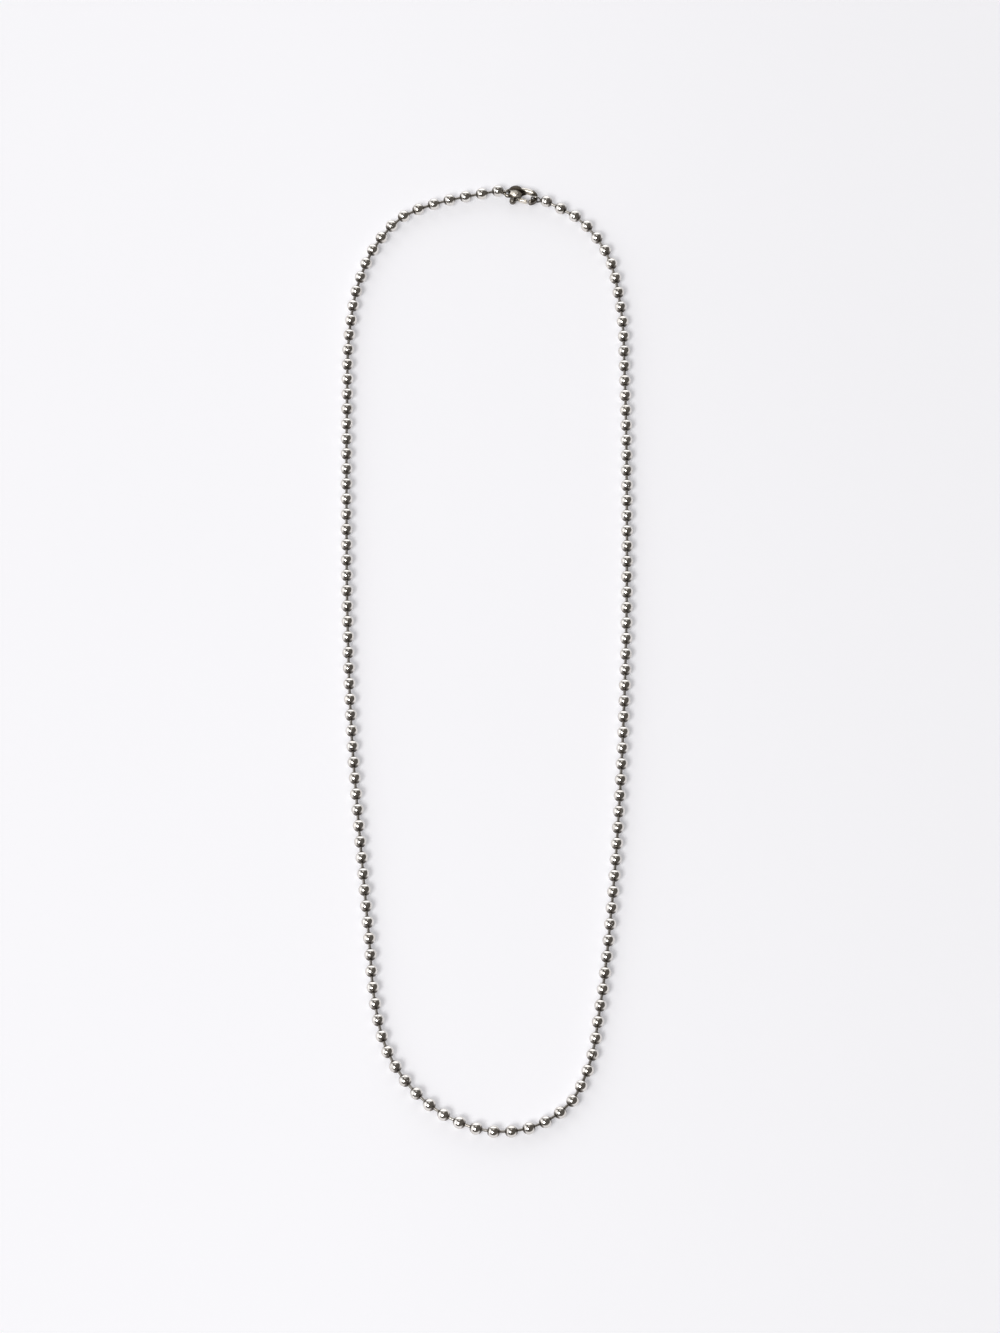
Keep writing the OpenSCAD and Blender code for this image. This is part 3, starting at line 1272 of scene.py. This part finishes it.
@dataclass
class LobsterClasp:
    """The clasp's body, its sprung lever and the rivet."""

    body: Casting = field(default_factory=lambda: Casting(
        "clasp_casting", "clasp_body", Body.NECKLACE, (CHEEK_HIGHLIGHT, ARM_HIGHLIGHT)))
    lever: Casting = field(default_factory=lambda: Casting(
        "lever_casting", "clasp_lever", Body.LEVER, (GATE_HIGHLIGHT,)))
    rivet: Rivet = field(default_factory=Rivet)

    def build(self, silver: bpy.types.Material, pin: bpy.types.Material) -> None:
        """Builds and dresses the three pieces.

        Args:
            silver: the castings' silver.
            pin: the rivet's silver.
        """
        self.body.build(silver)
        self.lever.build(silver)
        self.rivet.build(pin)


# The studio


def sight_line(azimuth_deg: float, elevation_deg: float) -> Point:
    """The direction from the necklace to something in the room.

    Args:
        azimuth_deg: its turn from +X, seen from above.
        elevation_deg: its height over the horizon.

    Returns:
        The direction, of length 1.
    """
    turn, rise = math.radians(azimuth_deg), math.radians(elevation_deg)
    return (math.cos(rise) * math.cos(turn), math.cos(rise) * math.sin(turn), math.sin(rise))


@dataclass(frozen=True)
class Glow:
    """A soft bright area of the room, given by where it is seen from the necklace.

    Attributes:
        azimuth_deg: turn of its middle from +X, seen from above.
        elevation_deg: height of its middle over the horizon.
        core_deg: how far from its middle it is at its brightest.
        edge_deg: how far from its middle it ends.
        colour: its colour.
    """

    azimuth_deg: float
    elevation_deg: float
    core_deg: float
    edge_deg: float
    colour: Colour

    def over(self, wiring: Wiring, direction: Feed, colour: Feed) -> bpy.types.NodeSocket:
        """Lays the bright area over the rest of the room.

        Args:
            wiring: the room's wiring.
            direction: the direction that is looked in.
            colour: the colour of the rest.

        Returns:
            The colour with the bright area in it.
        """
        middle = sight_line(self.azimuth_deg, self.elevation_deg)
        near = wiring.vector_math("DOT_PRODUCT", direction, middle)
        edge, core = (math.cos(math.radians(a)) for a in (self.edge_deg, self.core_deg))
        return wiring.blend(wiring.spread(near, edge, core), colour, self.colour)


@dataclass
class Studio:
    """The pale floor, one soft lamp, a dim room with bright areas, and the camera.

    Sizes of the floor, the lamp and its distance are in metres. The floor's own glow fades from
    one X to another, as the light in the photograph does.
    """

    floor_half: float = 14.0
    floor_colour: Colour = (0.80, 0.796, 0.812)
    floor_cloud: float = 0.985
    floor_cloud_scale: float = 0.01
    floor_cloud_detail: float = 2.0
    floor_roughness: float = 0.9
    floor_specular: float = 0.1
    floor_glow: Colour = (0.292, 0.294, 0.312)
    floor_glow_far: Colour = (0.246, 0.248, 0.264)
    floor_fade_mm: Pair = (-60.0, 150.0)
    key_azimuth_deg: float = 234.0
    key_elevation_deg: float = 50.0
    key_distance: float = 9.0
    key_size: Pair = (3.6, 3.2)
    key_watts: float = 430.0
    room_dark: Colour = (0.115, 0.106, 0.096)
    low_back: Glow = Glow(90.0, 8.0, 24.0, 48.0, (1.6, 1.6, 1.63))
    low_left: Glow = Glow(178.0, 15.0, 16.0, 43.0, (1.4, 1.4, 1.42))
    high_left: Glow = Glow(204.0, 56.0, 4.0, 20.0, (0.9, 0.89, 0.87))
    high_back: Glow = Glow(90.0, 68.0, 5.0, 18.0, (0.85, 0.82, 0.78))
    aim_mm: Point = (3.57, -6.86, 1.6)
    distance_mm: float = 1386.3
    elevation_deg: float = 65.155
    focal_px: float = 5400.0
    clip: Pair = (0.05, 100.0)

    def build(self) -> None:
        """Builds the floor, the lights and the camera."""
        self.build_floor()
        self.build_key()
        self.build_room()
        self.build_camera()
        view = bpy.context.scene.view_settings
        view.view_transform = "Standard"
        view.look = "None"
        log.info("studio: floor, key light, room and camera")

    def build_floor(self) -> None:
        """Builds the plain pale floor, a white sheet that also glows a little."""
        made = bpy.data.materials.new("floor_paper")
        made.use_nodes = True
        wiring = Wiring(made.node_tree)
        shader = made.node_tree.nodes["Principled BSDF"]
        shader.inputs["Roughness"].default_value = self.floor_roughness
        shader.inputs["Specular IOR Level"].default_value = self.floor_specular
        shader.inputs["Emission Strength"].default_value = 1.0
        place = wiring.millimetres()
        far = wiring.spread(wiring.first_part(place), *self.floor_fade_mm)
        glow = wiring.blend(far, self.floor_glow, self.floor_glow_far)
        wiring.feed(shader.inputs["Emission Color"], glow)
        cloud = wiring.noise(place, self.floor_cloud_scale, self.floor_cloud_detail)
        deeper = tuple(c * self.floor_cloud for c in self.floor_colour)
        wiring.feed(shader.inputs["Base Color"], wiring.blend(cloud, self.floor_colour, deeper))
        half = self.floor_half
        corners = [(-half, -half, 0), (half, -half, 0), (half, half, 0), (-half, half, 0)]
        mesh = bpy.data.meshes.new("floor")
        mesh.from_pydata(corners, [], [(0, 1, 2, 3)])
        mesh.materials.append(made)
        linked("floor", mesh)

    def build_key(self) -> None:
        """Builds the soft key light."""
        lamp = bpy.data.lights.new("key", "AREA")
        lamp.shape = "RECTANGLE"
        lamp.size, lamp.size_y = self.key_size
        lamp.energy = self.key_watts
        made = linked("key", lamp)
        direction = Vector(sight_line(self.key_azimuth_deg, self.key_elevation_deg))
        made.location = direction * self.key_distance
        made.rotation_euler = direction.to_track_quat("Z", "Y").to_euler()

    def build_room(self) -> None:
        """Builds the dim room, dark at the front and the right, with its bright areas."""
        world = bpy.data.worlds.new("room")
        bpy.context.scene.world = world
        world.use_nodes = True
        wiring = Wiring(world.node_tree)
        direction = wiring.node("ShaderNodeTexCoord").outputs["Generated"]
        colour = self.room_dark
        for glow in (self.low_back, self.low_left, self.high_left, self.high_back):
            colour = glow.over(wiring, direction, colour)
        wiring.feed(world.node_tree.nodes["Background"].inputs["Color"], colour)

    def build_camera(self) -> None:
        """Builds the camera at the photograph's angle."""
        camera = bpy.data.cameras.new("camera")
        camera.sensor_width = SENSOR_MM
        camera.lens = self.focal_px * SENSOR_MM / IMAGE_HEIGHT_PX
        camera.clip_start, camera.clip_end = self.clip
        made = linked("camera", camera)
        tilt = math.radians(self.elevation_deg)
        back = Vector((0, -math.cos(tilt), math.sin(tilt)))
        made.location = (Vector(self.aim_mm) + back * self.distance_mm) * MM
        made.rotation_euler = back.to_track_quat("Z", "Y").to_euler()
        bpy.context.scene.camera = made


def main() -> None:
    """Builds the necklace and the studio."""
    logging.basicConfig(level=logging.INFO, format="%(name)s: %(message)s")
    Studio().build()
    chain_silver = CHAIN_SILVER.material()
    clasp_silver = CLASP_SILVER.material()
    pin_silver = PIN_SILVER.material()
    place = ClaspPlace()
    chain = BallChain()
    chain.build(chain_silver)
    left = EndBead("end_bead_left", "end_link_left", ChainEnd.FIRST, HoleEnd.PLAIN,
                   HoleEnd.ROD_HOLE, ring_u=0.415, ring_outer_d=2.4)
    left.build(chain, place, chain_silver)
    right = EndBead("end_bead_right", "end_link_right", ChainEnd.LAST, HoleEnd.ROD_HOLE,
                    HoleEnd.PLAIN, ring_u=8.75, ring_outer_d=3.0)
    right.build(chain, place, chain_silver)
    LobsterClasp().build(clasp_silver, pin_silver)


if __name__ == "__main__":
    main()
